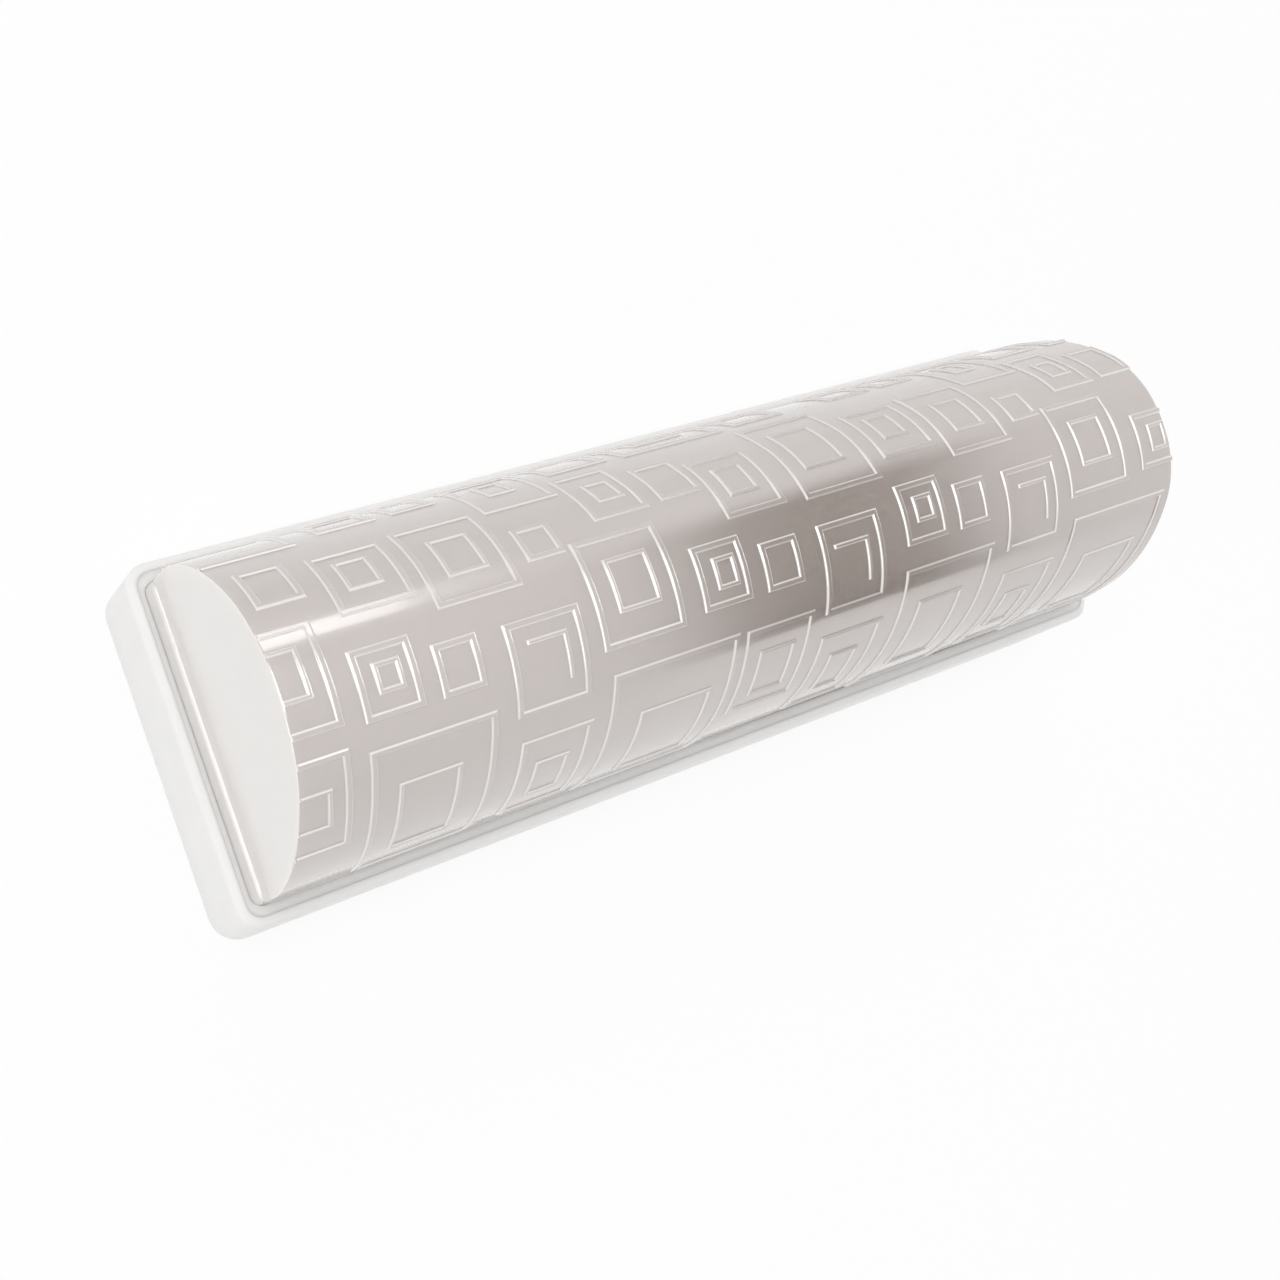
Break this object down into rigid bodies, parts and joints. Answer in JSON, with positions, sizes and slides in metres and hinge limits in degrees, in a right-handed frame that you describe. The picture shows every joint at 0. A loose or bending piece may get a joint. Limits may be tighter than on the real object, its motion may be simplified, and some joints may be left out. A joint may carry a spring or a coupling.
{
  "type": "wall light",
  "caption": "Oblong wall light: a white moulded tray with a half-round translucent diffuser, a gear plate and small screw-cap lamps inside.",
  "frame": {"origin": "middle of the tray's flat back, on the wall plane", "axes": "+X along the length, +Y across, +Z out from the wall"},
  "size_m": [0.3, 0.1, 0.099],
  "materials": {
    "white_plastic": "satin moulded",
    "diffuser_plastic": "glossy outside, frosted inside",
    "dark_rubber": "matt",
    "grey_foam": "matt foam",
    "white_steel": "satin white paint",
    "zinc_steel": "zinc plated",
    "zinc_screw": "bright zinc",
    "holder_plastic": "satin",
    "terminal_plastic": "satin",
    "brass": "bright",
    "tinned_brass": "tinned",
    "nickel_cap": "nickel plated",
    "black_insulator": "glossy",
    "opal_glass": "opal",
    "brown_wire": "satin",
    "blue_wire": "satin",
    "green_wire": "satin"
  },
  "bodies": {
    "tray": {"base_housing": "white_plastic", "cable_grommet": "dark_rubber", "fixing_seals": "dark_rubber", "rim_gasket": "grey_foam", "gear_plate": "white_steel", "gear_screws": "zinc_screw", "bracket_left": "zinc_steel", "bracket_right": "zinc_steel", "bracket_screws": "zinc_screw", "lampholder_left": "holder_plastic", "lampholder_right": "holder_plastic", "holder_nuts": "brass", "screw_shell_left": "brass", "screw_shell_right": "brass", "centre_contact_left": "brass", "centre_contact_right": "brass", "terminal_block": "terminal_plastic", "terminal_tubes": "brass", "terminal_screws": "zinc_screw", "block_screw": "zinc_screw", "cord_clamp": "terminal_plastic", "clamp_screws": "zinc_screw", "earth_tag": "tinned_brass", "earth_screw": "brass", "live_wires": "brown_wire", "neutral_wires": "blue_wire", "earth_wire": "green_wire"},
    "cover": {"diffuser": "diffuser_plastic"},
    "lamp_left": {"lamp_cap_left": "nickel_cap", "lamp_tip_left": "black_insulator", "bulb_left": "opal_glass"},
    "lamp_right": {"lamp_cap_right": "nickel_cap", "lamp_tip_right": "black_insulator", "bulb_right": "opal_glass"}
  },
  "joints": [
    {"name": "diffuser_pull", "type": "slide", "parent": "tray", "child": "cover", "axis": [0, 0, 1], "range_m": [0, 0.11]},
    {"name": "lamp_left_out", "type": "slide", "parent": "tray", "child": "lamp_left", "axis": [1, 0, 0], "range_m": [0, 0.033]},
    {"name": "lamp_right_out", "type": "slide", "parent": "tray", "child": "lamp_right", "axis": [-1, 0, 0], "range_m": [0, 0.033]}
  ]
}
